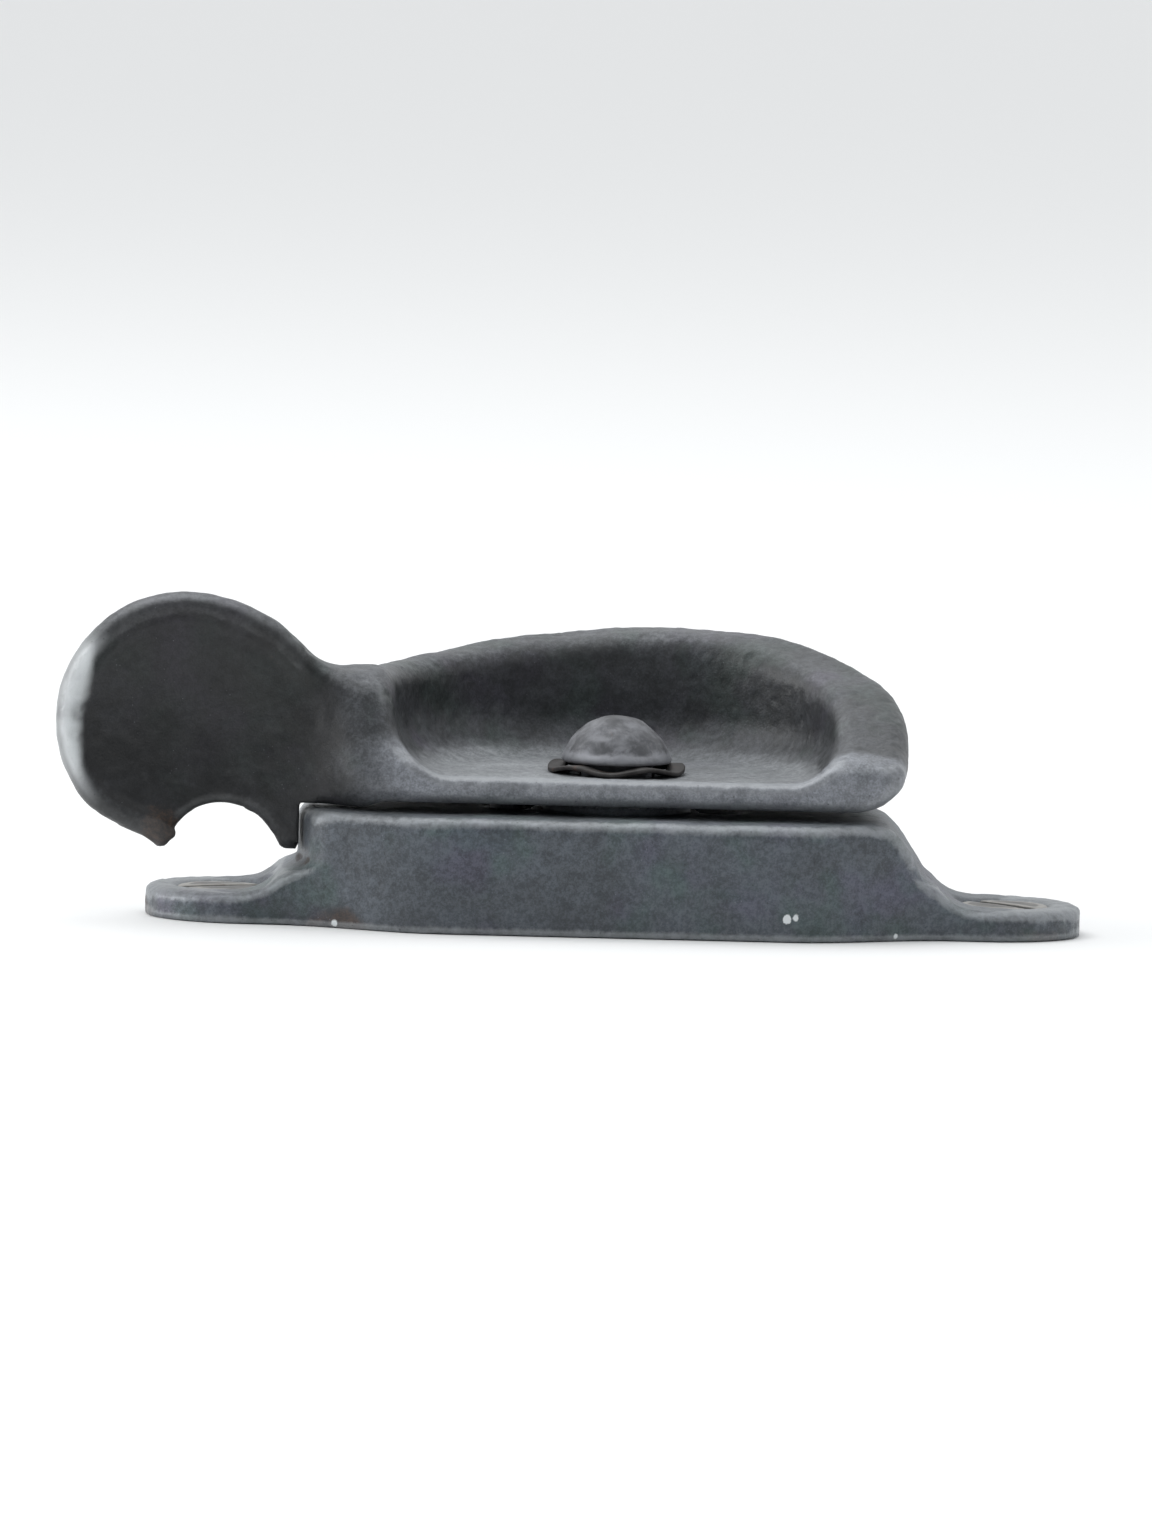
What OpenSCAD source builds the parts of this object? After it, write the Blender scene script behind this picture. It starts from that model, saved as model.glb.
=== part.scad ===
// Crescent sash fastener: a cast base with two screw ears, and a lever with a
// crescent wall that turns half a turn on a headed rivet to catch a keeper.
// Origin: on the rivet's axis, on the base's underside. +Z up, +Y to the room,
// -Y to the keeper. The lever is drawn open, with its finger disc over -X.

/* [Base] */
// Overall length over both screw ears
base_l = 70; // [68:0.5:74]
// Depth of the housing, keeper side to room side
base_d = 23; // [22:0.5:26]
// Height of the housing's flat top
base_h = 8.5; // [8.5:0.1:9.3]
// Thickness of the screw ears
ear_h = 2.2; // [2:0.1:2.6]
// Width of the screw ears
ear_w = 14.8; // [13:0.2:16]
// Thickness of the housing's side walls
wall = 2.4; // [2:0.1:2.8]
// Thickness of the housing's roof
roof = 2.4; // [2.2:0.1:2.6]

/* [Fixing screws] */
// Distance between the two screws
screw_pitch = 58; // [57:0.5:60]
// Overall length of each wood screw
screw_len = 19; // [16:1:25]
// Radius of the plain shank below the ear
shank_r = 1.75; // [1.5:0.05:1.8]
// Radius of the countersunk head
head_r = 3.4; // [3.2:0.1:3.5]

/* [Crescent lever] */
// Gap between the housing's top and the lever's floor
lever_gap = 0.8; // [0.6:0.1:1]
// Thickness of the lever's floor plate
floor_t = 1.9; // [1.7:0.1:2.1]
// Height of the crescent wall's top above the base's underside
wall_top = 20.9; // [20.9:0.1:22]
// Radius of the crescent wall's inside
pocket_r = 16.3; // [16:0.1:16.6]
// Radius of the crescent wall's outside
crescent_r = 20.8; // [20.4:0.1:21]
// How far the floor runs out towards the keeper
floor_front = 8; // [7:0.5:9]
// Radius of the finger disc
disc_r = 9.5; // [9:0.25:10]
// Thickness of the disc and neck
disc_t = 3; // [2.6:0.1:3.2]
// Distance from the rivet to the disc's centre
disc_x = 32; // [31.6:0.1:32.4]
// Radius of the round notch under the disc
notch_r = 4.1; // [3.8:0.1:4.2]

/* [Pivot and detent] */
// Radius of the rivet's round journal
journal_r = 2.5; // [2.4:0.05:2.6]
// Radial running clearance of the journal in the base
run_clear = 0.05; // [0.03:0.01:0.1]
// Radius of the rivet's domed head
dome_r = 4.2; // [4:0.1:4.8]
// Height of the rivet's domed head
dome_h = 3.5; // [3:0.1:3.8]
// Distance across the detent cam's two flats
cam_flats = 8.8; // [8.4:0.1:9]
// Radius of the detent cam's round sides
cam_r = 5.6; // [5.4:0.1:5.8]
// Thickness of the hairpin spring's strip
strip_t = 0.7; // [0.5:0.1:0.8]

/* [Hidden] */
$fn = 96;
eps = 0.01;

floor_z = base_h + lever_gap;          // underside of the lever's floor
floor_top = floor_z + floor_t;
sweep_r = 23.5;                        // the housing's ends stay inside this above sweep_z
sweep_z = 4.95;
cavity_h = base_h - roof;
neck_sq = 2 * journal_r + 0.2;         // square under the rivet's head
tail_sq = 3.5;                         // square at the rivet's lower end
washer_z = floor_top + 0.02;
head_z = floor_top + 0.8;              // underside of the rivet's head
boss_z = 4.9;                          // underside of the pivot boss in the housing
cam_z = 2.6;
cam_t = 2.2;
post_x = 14;
post_r = 1.9;
disc_y = -3;                           // middle of the disc's thickness
disc_z = 14.6;
stop_r = 8;                            // radius of the stop's path
csk = 0.869;                           // slope of the countersinks, tan(41)
leg_r = 23.8;                          // inner face of the leg, round the rivet
leg_z = 5.3;                           // foot of the leg
neck_z = base_h + 0.3;                 // underside of the neck, close over the housing's end
crescent_cx = 0.8;
pocket_cx = -0.2;
bowl_r = 4.2;                          // round under the crescent wall's outer edge
fillet_r = 3.4;                        // inside the pocket, between floor and wall

function smooth(t) = let (u = min(1, max(0, t))) u * u * (3 - 2 * u);
// half depth of the base at x: full in the middle, drawn in to the ears
function half_d(x) = base_d / 2 - (base_d / 2 - ear_w / 2) * smooth((abs(x) - 13) / 12);
function left_normal(a, b) = let (d = b - a) [-d[1], d[0]] / norm(d);
// one side of a strip along points p, at distance s to its left, mitred
function side(p, s) = [for (i = [0 : len(p) - 1])
    let (n0 = left_normal(p[max(0, i - 1)], p[max(1, i)]),
         n1 = left_normal(p[min(len(p) - 2, i)], p[min(len(p) - 1, i + 1)]),
         m = (n0 + n1) / norm(n0 + n1))
    p[i] + m * s / (m * n1)];

module strip(p, t) {
    a = side(p, t / 2);
    b = side(p, -t / 2);
    polygon(concat(a, [for (i = [len(b) - 1 : -1 : 0]) b[i]]));
}

// ---------- base ----------
ear_cx = base_l / 2 - ear_w / 2;
module base_outline(inset = 0, x0 = -30, x1 = 30) {
    n = 36;
    lo = max(x0, -ear_cx);
    hi = min(x1, ear_cx);
    up = [for (i = [0 : n]) let (x = lo + (hi - lo) * i / n) [x, half_d(x) - inset]];
    polygon(concat(up, [for (i = [n : -1 : 0]) [up[i][0], -up[i][1]]]));
}

// end view of the base along its length: ears, fillets and the housing
module base_profile() {
    polygon([
        [-base_l / 2, 0], [base_l / 2, 0], [base_l / 2, ear_h],
        [25.9, ear_h], [24.7, 2.6], [23.5, 3.3], [22.2, 4.6], [20.9, 6.1], [19.8, 7.5], [18.7, base_h],
        [-22.8, base_h], [-23.3, base_h - 0.5], [-23.5, sweep_z], [-24.4, 3.4], [-26, ear_h],
        [-base_l / 2, ear_h]]);
}

module base_casting() color("#5b5f66") {
    difference() {
        intersection() {
            translate([0, 40, 0]) rotate([90, 0, 0]) linear_extrude(80) base_profile();
            linear_extrude(30) union() {
                base_outline();
                for (s = [-1, 1]) translate([s * ear_cx, 0]) circle(r = ear_w / 2);
            }
        }
        // ends rounded about the rivet, so that the lever's leg swings past them
        difference() {
            translate([0, 0, sweep_z]) cylinder(r = 40, h = 10);
            translate([0, 0, sweep_z - 1]) cylinder(r = sweep_r, h = 12);
        }
        // hollow underside, round the pivot boss and the spring's post
        difference() {
            translate([0, 0, -1]) linear_extrude(cavity_h + 1) base_outline(wall, -21.3, 17.8);
            translate([0, 0, boss_z]) cylinder(r = 6, h = 4);
            translate([post_x, 0, 2.1]) cylinder(r = post_r, h = 8);
        }
        // pivot bore
        translate([0, 0, -1]) cylinder(r = journal_r + run_clear, h = 20);
        // half-round groove for the lever's stop, ending where the lever is open and shut
        translate([0, 0, base_h - 1]) {
            intersection() {
                difference() {
                    cylinder(r = stop_r + 1.6, h = 3);
                    translate([0, 0, -1]) cylinder(r = stop_r - 1.6, h = 5);
                }
                translate([-20, 0, -1]) cube([40, 20, 5]);
            }
            for (s = [-1, 1]) translate([s * stop_r, 0, 0]) cylinder(r = 1.6, h = 3);
        }
        // countersunk screw holes
        for (s = [-1, 1]) translate([s * screw_pitch / 2, 0, 0]) {
            translate([0, 0, -1]) cylinder(r = 2, h = 5);
            translate([0, 0, ear_h - (head_r - 1.7) / csk]) cylinder(r1 = 2, r2 = head_r + 0.3 + eps * csk, h = (head_r - 1.7) / csk + eps);
        }
    }
    // thrust face round the bore, which carries the lever's floor
    translate([0, 0, base_h - eps]) difference() {
        cylinder(r = 5.6, h = lever_gap - 0.04);
        translate([0, 0, -1]) cylinder(r = journal_r + run_clear, h = 5);
    }
}

// ---------- lever ----------
// quarter round of radius b between a level z and a side at r
function quarter(r, z, b) = [for (a = [0 : 15 : 90]) [r - b + b * sin(a), z + b - b * cos(a)]];

// bowl with a half-round back to the room side and straight sides to the keeper side
module bowl(r, cx, z, b, top, front) {
    arc = quarter(r, z, b);
    translate([cx, 0, 0]) {
        intersection() {
            rotate_extrude() polygon(concat([[0, z]], arc, [[r, top], [0, top]]));
            translate([-60, 0, 0]) cube([120, 60, 60]);
        }
        rotate([90, 0, 0]) linear_extrude(front)
            polygon(concat(arc, [[r, top], [-r, top]], [for (i = [len(arc) - 1 : -1 : 0]) [-arc[i][0], arc[i][1]]]));
    }
}

// disc, neck, leg and hooked tip, seen from the keeper side
module handle_outline() {
    difference() {
        union() {
            intersection() {
                translate([-disc_x, disc_z]) circle(r = disc_r);
                polygon([[-60, 14.7], [-33.4, leg_z], [-20, leg_z], [-20, 40], [-60, 40]]);
            }
            polygon([
                [-17.2, floor_z], [-18.6, neck_z], [-21.8, neck_z], [-21.8, leg_z], [-33.4, leg_z], [-33.8, disc_z],
                [-28.2, 22.3], [-25.2, 21.5], [-23.8, 20.3], [-22.6, 19.6], [-21.3, 19.2], [-17.2, 19]]);
        }
        // finger notch, with a pointed spur beyond it
        translate([-29.2, 4.5]) circle(r = notch_r);
        polygon([[-29.2, 3], [-29.2, 7.5], [-27.2, 8], [-26.2, 7.3], [-25.3, 6.3], [-24.6, 5], [-24.6, 3]]);
    }
}

module crescent_lever() color("#46494e") {
    difference() {
        union() {
            bowl(crescent_r, crescent_cx, floor_z, bowl_r, wall_top, floor_front);
            translate([0, disc_y + disc_t / 2, 0]) rotate([90, 0, 0]) linear_extrude(disc_t) handle_outline();
        }
        // pocket that the keeper's lip enters, open to the front and wider at the leading end
        bowl(pocket_r, pocket_cx, floor_top, fillet_r, 45, floor_front + 5);
        // lead-in ramp on the leading end of the wall
        rotate([90, 0, 90]) linear_extrude(30)
            polygon([[-10, 12.2], [-8, 12.7], [-4, 14.2], [0, 15.9], [5.4, 17.6], [10.7, 18.9], [14.7, 20.1], [16.3, 20.5], [21, wall_top], [21, 40], [-10, 40]]);
        // the wall dips to the neck at the other end
        translate([-21.5, 0, 0]) rotate([90, 0, 90]) linear_extrude(21.5)
            polygon([[-10, 12], [-8, 12.6], [-6, 14.4], [-4.5, 16.8], [-3, 18.6], [-1.5, 18.9], [5, 18.7], [10, 19.1], [14.7, 20], [16.3, 20.5], [21, wall_top], [21, 40], [-10, 40]]);
        // the leg's inner face runs round the housing's end
        translate([0, 0, leg_z - 2]) cylinder(r = leg_r, h = neck_z - leg_z + 2);
        // square hole for the rivet
        translate([-neck_sq / 2 - 0.03, -neck_sq / 2 - 0.03, 5]) cube([neck_sq + 0.06, neck_sq + 0.06, 15]);
        // shallow dish in the finger disc's keeper-side face
        translate([-disc_x, disc_y - disc_t / 2 - 25, disc_z]) sphere(r = 26);
    }
    // stop under the floor
    translate([-stop_r, 0, base_h - 0.8]) cylinder(r = 1.3, h = lever_gap + 1);
}

// ---------- pivot ----------
module pivot_rivet() color("#74777c") {
    // domed head
    cap_r = (dome_r * dome_r + dome_h * dome_h) / (2 * dome_h);
    intersection() {
        translate([0, 0, head_z + dome_h - cap_r]) sphere(r = cap_r);
        translate([0, 0, head_z]) cylinder(r = 10, h = 10);
    }
    translate([-neck_sq / 2, -neck_sq / 2, floor_z + 0.05]) cube([neck_sq, neck_sq, head_z - floor_z]);
    translate([0, 0, 4.85]) cylinder(r = journal_r, h = floor_z - 4.85 + 0.1);
    translate([-tail_sq / 2, -tail_sq / 2, 1.4]) cube([tail_sq, tail_sq, 4]);
    // headed end
    translate([0, 0, 1.1]) cylinder(r1 = 2.6, r2 = 3.2, h = 0.3);
    translate([0, 0, 1.4 - eps]) cylinder(r = 3.2, h = 0.4);
}

module wave_washer() color("#6a6d72") {
    translate([0, 0, washer_z]) difference() {
        cylinder(r = 5.1, h = head_z - washer_z - 0.02);
        translate([0, 0, -1]) cylinder(r = 3.75, h = 4);
    }
}

module detent_cam() color("#8b8e92") {
    translate([0, 0, cam_z]) difference() {
        intersection() {
            cylinder(r = cam_r, h = cam_t);
            translate([-10, -cam_flats / 2, -1]) cube([20, cam_flats, 10]);
        }
        translate([-tail_sq / 2 - 0.03, -tail_sq / 2 - 0.03, -1]) cube([tail_sq + 0.06, tail_sq + 0.06, 10]);
    }
}

module retaining_washer() color("#8b8e92") {
    translate([0, 0, 1.85]) difference() {
        cylinder(r = 5.9, h = 0.65);
        translate([0, 0, -1]) cylinder(r = 2.52, h = 4);
    }
}

// steel strip round the post, with a leg on each of the cam's flats
leg_y = cam_flats / 2 + 0.05 + strip_t / 2;
bend_r = post_r + 0.1 + strip_t / 2;
tangent_a = atan2(leg_y, 5 - post_x) - acos(bend_r / norm([5 - post_x, leg_y]));
spring_path = concat(
    [[-8, leg_y + 0.8], [-4.5, leg_y], [5, leg_y]],
    [for (i = [0 : 18]) let (a = tangent_a - 2 * tangent_a * i / 18) [post_x + bend_r * cos(a), bend_r * sin(a)]],
    [[5, -leg_y], [-4.5, -leg_y], [-8, -leg_y - 0.8]]);
module hairpin_spring() color("#9a9da1") {
    translate([0, 0, 2.55]) linear_extrude(2.2) strip(spring_path, strip_t);
}

// ---------- fixings ----------
module wood_screw() color("#7d7f83") {
    top = ear_h - 0.05;
    cone_z = top - 0.2 - (head_r - shank_r) / csk;
    tip_z = top - screw_len;
    core_r = shank_r - 0.35;
    difference() {
        rotate_extrude() polygon([
            [0, tip_z], [0.15, tip_z], [core_r, tip_z + 2.6], [core_r, -6], [shank_r, -6],
            [shank_r, cone_z], [head_r, top - 0.2], [head_r, top], [0, top]]);
        translate([-5, -0.5, top - 0.95]) cube([10, 1, 2]);
    }
}
module mounting_screw_left() translate([-screw_pitch / 2, 0, 0]) rotate([0, 0, 25]) wood_screw();
module mounting_screw_right() translate([screw_pitch / 2, 0, 0]) rotate([0, 0, -50]) wood_screw();

base_casting();
crescent_lever();
pivot_rivet();
wave_washer();
detent_cam();
hairpin_spring();
retaining_washer();
mounting_screw_left();
mounting_screw_right();
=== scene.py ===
"""Crescent sash fastener: cast base, crescent lever, rivet, washers, detent and screws.

The castings are modelled as distance fields in millimetres and turned into quad meshes, so that every
edge and inside corner carries the soft radius that sand casting leaves. Each mesh is then roughened by
a little real relief, and carries the edge, hollow, occlusion, dust and rust masks that its material reads.
Some of these masks paint light and shade into the colour: the occlusion mask painted shade, the dust mask
painted light on what faces up, and the lever's masks painted shade in its pocket and a painted highlight on its rim.
"""
import math

import bpy
import numpy as np
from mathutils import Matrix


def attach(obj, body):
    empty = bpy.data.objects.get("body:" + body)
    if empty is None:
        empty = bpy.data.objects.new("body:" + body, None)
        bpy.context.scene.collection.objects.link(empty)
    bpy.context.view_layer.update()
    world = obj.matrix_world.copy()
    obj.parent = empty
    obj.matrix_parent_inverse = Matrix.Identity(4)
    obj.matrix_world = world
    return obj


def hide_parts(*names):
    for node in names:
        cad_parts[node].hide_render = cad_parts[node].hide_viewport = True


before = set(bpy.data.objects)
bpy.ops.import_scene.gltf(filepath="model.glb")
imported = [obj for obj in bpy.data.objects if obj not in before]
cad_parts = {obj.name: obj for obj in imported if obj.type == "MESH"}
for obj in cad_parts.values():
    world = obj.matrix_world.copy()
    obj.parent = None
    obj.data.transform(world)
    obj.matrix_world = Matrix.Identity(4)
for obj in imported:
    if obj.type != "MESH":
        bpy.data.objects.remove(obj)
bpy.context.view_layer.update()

MM = 0.001
scene = bpy.context.scene

# ---------------------------------------------------------------- the part's own dimensions, in mm
BASE_H, GAP, FLOOR_T = 8.5, 0.8, 1.9
FLOOR_Z = BASE_H + GAP
FLOOR_TOP = FLOOR_Z + FLOOR_T
WALL_TOP = 20.9
OUT_CX, OUT_R = 0.8, 20.8          # outside of the crescent wall
POC_CX, POC_R = -0.2, 16.3         # inside of the crescent wall
FRONT = 8.0                        # how far the floor runs towards the keeper
DISC_X, DISC_Z, DISC_R = -32.0, 14.6, 9.5
DISC_Y, DISC_T = -3.0, 3.0
SWEEP_R, SWEEP_Z = 23.5, 4.95      # the housing's ends stay inside this, so that the leg can pass
LEG_R, LEG_Z = 23.8, 5.3
NECK_Z = BASE_H + 0.3              # underside of the neck, close over the housing's end
HEAD_Z, DOME_R, DOME_H = FLOOR_TOP + 0.8, 4.2, 3.5
EAR_H = 2.2
SCREW_X = 29.0


# ---------------------------------------------------------------- small numeric tools
def smoothstep(a, b, v):
    t = np.clip((v - a) / (b - a), 0.0, 1.0)
    return t * t * (3 - 2 * t)


def smin(a, b, k):
    h = np.maximum(k - np.abs(a - b), 0.0) / k
    return np.minimum(a, b) - h * h * k * 0.25


def smax(a, b, k):
    return -smin(-a, -b, k)


def rint(a, b, r):
    """Intersection of two distances with a true quarter-round edge."""
    p, q = a + r, b + r
    return np.minimum(np.maximum(p, q), 0.0) + np.sqrt(np.maximum(p, 0) ** 2 + np.maximum(q, 0) ** 2) - r


def poly_sdf(px, py, pts):
    """Signed distance to a closed outline, negative inside."""
    pts = np.asarray(pts, float)
    px, py = np.broadcast_arrays(px, py)
    d = np.full(px.shape, 1e9)
    s = np.ones(px.shape)
    for i in range(len(pts)):
        ax, ay = pts[i]
        bx, by = pts[i - 1]
        ex, ey = bx - ax, by - ay
        wx, wy = px - ax, py - ay
        t = np.clip((wx * ex + wy * ey) / (ex * ex + ey * ey), 0, 1)
        d = np.minimum(d, (wx - ex * t) ** 2 + (wy - ey * t) ** 2)
        c1, c2, c3 = py >= ay, py < by, ex * wy > ey * wx
        s = np.where((c1 & c2 & c3) | (~c1 & ~c2 & ~c3), -s, s)
    return s * np.sqrt(d)


def polyline_dist(px, py, pts):
    px, py = np.broadcast_arrays(px, py)
    d = np.full(px.shape, 1e9)
    for (ax, ay), (bx, by) in zip(pts[:-1], pts[1:]):
        ex, ey = bx - ax, by - ay
        t = np.clip(((px - ax) * ex + (py - ay) * ey) / (ex * ex + ey * ey), 0, 1)
        d = np.minimum(d, (px - ax - ex * t) ** 2 + (py - ay - ey * t) ** 2)
    return np.sqrt(d)


def chaikin(pts, times=2):
    """Rounds an open chain by cutting its corners, keeping both ends."""
    p = np.asarray(pts, float)
    for _ in range(times):
        q = 0.75 * p[:-1] + 0.25 * p[1:]
        r = 0.25 * p[:-1] + 0.75 * p[1:]
        p = np.vstack([p[:1], np.column_stack([q, r]).reshape(-1, 2)[1:-1], p[-1:]])
    return p


def lattice(ix, iy, iz, seed):
    h = (ix * 374761393 + iy * 668265263 + iz * 2147483647 + seed * 1274126177) & 0xFFFFFFFF
    h = ((h ^ (h >> 13)) * 1103515245) & 0xFFFFFFFF
    h = ((h ^ (h >> 16)) * 2246822519) & 0xFFFFFFFF
    return ((h ^ (h >> 15)) & 0xFFFF) / 32767.5 - 1.0


def vnoise(p, size, seed):
    """Smooth value noise in -1..1 at points p (n, 3), with features about size mm across."""
    q = p / size + 1000.0
    i = np.floor(q).astype(np.int64)
    f = q - i
    u = f * f * (3 - 2 * f)
    out = np.zeros(len(p))
    for dx in (0, 1):
        for dy in (0, 1):
            for dz in (0, 1):
                w = (u[:, 0] if dx else 1 - u[:, 0]) * (u[:, 1] if dy else 1 - u[:, 1]) * (u[:, 2] if dz else 1 - u[:, 2])
                out += w * lattice(i[:, 0] + dx, i[:, 1] + dy, i[:, 2] + dz, seed)
    return out


def fbm(p, size, seed, octaves=3):
    out, amp, tot = np.zeros(len(p)), 1.0, 0.0
    for o in range(octaves):
        out += amp * vnoise(p, size / 2 ** o, seed + 17 * o)
        tot += amp
        amp *= 0.5
    return out / tot


# ---------------------------------------------------------------- distance field to mesh
class Field:
    """A box of samples of a distance field, h mm apart."""

    def __init__(self, lo, hi, h):
        self.h = h
        self.lo = np.asarray(lo, float)
        n = [int(math.ceil((b - a) / h)) + 1 for a, b in zip(lo, hi)]
        ax = [self.lo[k] + h * np.arange(n[k]) for k in range(3)]
        self.x, self.y, self.z = ax[0][:, None, None], ax[1][None, :, None], ax[2][None, None, :]
        self.shape = tuple(n)

    def sample(self, f, p):
        q = (p - self.lo) / self.h
        q = np.clip(q, 0, np.array(self.shape) - 1.001)
        i = q.astype(int)
        t = q - i
        out = np.zeros(len(p))
        for dx in (0, 1):
            for dy in (0, 1):
                for dz in (0, 1):
                    w = (t[:, 0] if dx else 1 - t[:, 0]) * (t[:, 1] if dy else 1 - t[:, 1]) * (t[:, 2] if dz else 1 - t[:, 2])
                    out += w * f[i[:, 0] + dx, i[:, 1] + dy, i[:, 2] + dz]
        return out

    def gradient(self, f, p, e=None):
        e = e or self.h * 0.75
        g = np.zeros_like(p)
        for k in range(3):
            d = np.zeros(3)
            d[k] = e
            g[:, k] = (self.sample(f, p + d) - self.sample(f, p - d)) / (2 * e)
        return g


def surface_net(fld, f):
    """Vertices and quads of the zero surface, one vertex to each cell that it crosses."""
    neg = f < 0
    tot = np.zeros(tuple(s - 1 for s in f.shape), np.int8)
    offs = [(a, b, c) for a in (0, 1) for b in (0, 1) for c in (0, 1)]
    for a, b, c in offs:
        tot += neg[a:f.shape[0] - 1 + a, b:f.shape[1] - 1 + b, c:f.shape[2] - 1 + c]
    act = (tot > 0) & (tot < 8)
    cells = np.argwhere(act)
    idx = np.full(act.shape, -1, np.int64)
    idx[act] = np.arange(len(cells))
    acc, cnt = np.zeros((len(cells), 3)), np.zeros(len(cells))
    for o in offs:
        for k in range(3):
            if o[k]:
                continue
            e = list(o)
            e[k] = 1
            fa = f[cells[:, 0] + o[0], cells[:, 1] + o[1], cells[:, 2] + o[2]]
            fb = f[cells[:, 0] + e[0], cells[:, 1] + e[1], cells[:, 2] + e[2]]
            cross = (fa < 0) != (fb < 0)
            t = fa[cross] / (fa[cross] - fb[cross])
            pt = np.tile(np.array(o, float), (len(t), 1))
            pt[:, k] += t
            acc[cross] += pt
            cnt[cross] += 1
    v = fld.lo + fld.h * (cells + acc / cnt[:, None])
    for _ in range(2):  # onto the true surface
        g = fld.gradient(f, v)
        n2 = np.maximum((g ** 2).sum(1), 0.25)
        step = (fld.sample(f, v) / n2)[:, None] * g
        v -= np.clip(step, -0.4 * fld.h, 0.4 * fld.h)
    quads = []
    for k in range(3):
        a, b = [m for m in range(3) if m != k]
        s = [slice(None)] * 3
        s[k] = slice(0, -1)
        s[a] = slice(1, -1)
        s[b] = slice(1, -1)
        e = list(s)
        e[k] = slice(1, None)
        n0, n1 = neg[tuple(s)], neg[tuple(e)]
        for sign in (0, 1):
            hit = np.argwhere((n0 & ~n1) if sign == 0 else (~n0 & n1))
            if not len(hit):
                continue
            base = hit.copy()
            base[:, a] += 1
            base[:, b] += 1
            ring = []
            for da, db in ((0, 0), (-1, 0), (-1, -1), (0, -1)):
                c = base.copy()
                c[:, a] += da
                c[:, b] += db
                ring.append(idx[c[:, 0], c[:, 1], c[:, 2]])
            q = np.column_stack(ring)
            flip = (k == 1) != (sign == 1)
            quads.append(q[:, ::-1] if flip else q)
    q = np.vstack(quads)
    # outward winding, judged on the field's own gradient
    c = v[q].mean(1)
    nrm = np.cross(v[q[:, 2]] - v[q[:, 0]], v[q[:, 3]] - v[q[:, 1]])
    g = fld.gradient(f, c)
    wrong = (nrm * g).sum(1) < 0
    if wrong.mean() > 0.5:
        q = q[:, ::-1]
    return v, q


def largest_part(v, q):
    """Drops anything that isn't joined to the main surface."""
    label = np.arange(len(v))
    while True:
        m = label[q].min(1)
        new = label.copy()
        np.minimum.at(new, q.ravel(), np.repeat(m, 4))
        new = new[new]
        if (new == label).all():
            break
        label = new
    ids, n = np.unique(label[q[:, 0]], return_counts=True)
    q = q[label[q[:, 0]] == ids[n.argmax()]]
    used = np.zeros(len(v), bool)
    used[q.ravel()] = True
    remap = np.cumsum(used) - 1
    return v[used], remap[q]


def make_mesh(name, v, q, masks=None, smooth=True):
    me = bpy.data.meshes.new(name)
    me.vertices.add(len(v))
    me.vertices.foreach_set("co", (np.asarray(v) * MM).astype(np.float32).ravel())
    q = np.asarray(q, np.int32)
    me.loops.add(q.size)
    me.loops.foreach_set("vertex_index", q.ravel())
    me.polygons.add(len(q))
    me.polygons.foreach_set("loop_start", np.arange(0, q.size, q.shape[1], dtype=np.int32))
    me.polygons.foreach_set("loop_total", np.full(len(q), q.shape[1], np.int32))
    me.update(calc_edges=True)
    me.validate()
    for p in (masks or {}):
        at = me.attributes.new(p, "FLOAT", "POINT")
        at.data.foreach_set("value", np.asarray(masks[p], np.float32))
    me.polygons.foreach_set("use_smooth", [smooth] * len(me.polygons))
    o = bpy.data.objects.new(name, me)
    scene.collection.objects.link(o)
    return o


def surface_masks(fld, f, v, reach=0.9):
    """Edge and hollow masks from the field's curvature, and open sky as seen by the piece itself."""
    s = 0.8
    lap = -6 * fld.sample(f, v)
    for k in range(3):
        d = np.zeros(3)
        d[k] = s
        lap += fld.sample(f, v + d) + fld.sample(f, v - d)
    lap /= s * s
    g = fld.gradient(f, v)
    n = g / np.maximum(np.linalg.norm(g, axis=1), 1e-6)[:, None]
    occ = np.zeros(len(v))
    for d in (1.0, 2.0, 4.0):
        occ += np.clip((d - fld.sample(f, v + n * d)) / d, 0, 1) / 3
    return np.clip(lap * 0.9, 0, 1), np.clip(-lap * 0.9, 0, 1), occ, n


# ---------------------------------------------------------------- the base
def half_depth(x):
    return 11.5 - (11.5 - 7.4) * smoothstep(13, 25, np.abs(x))


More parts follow.
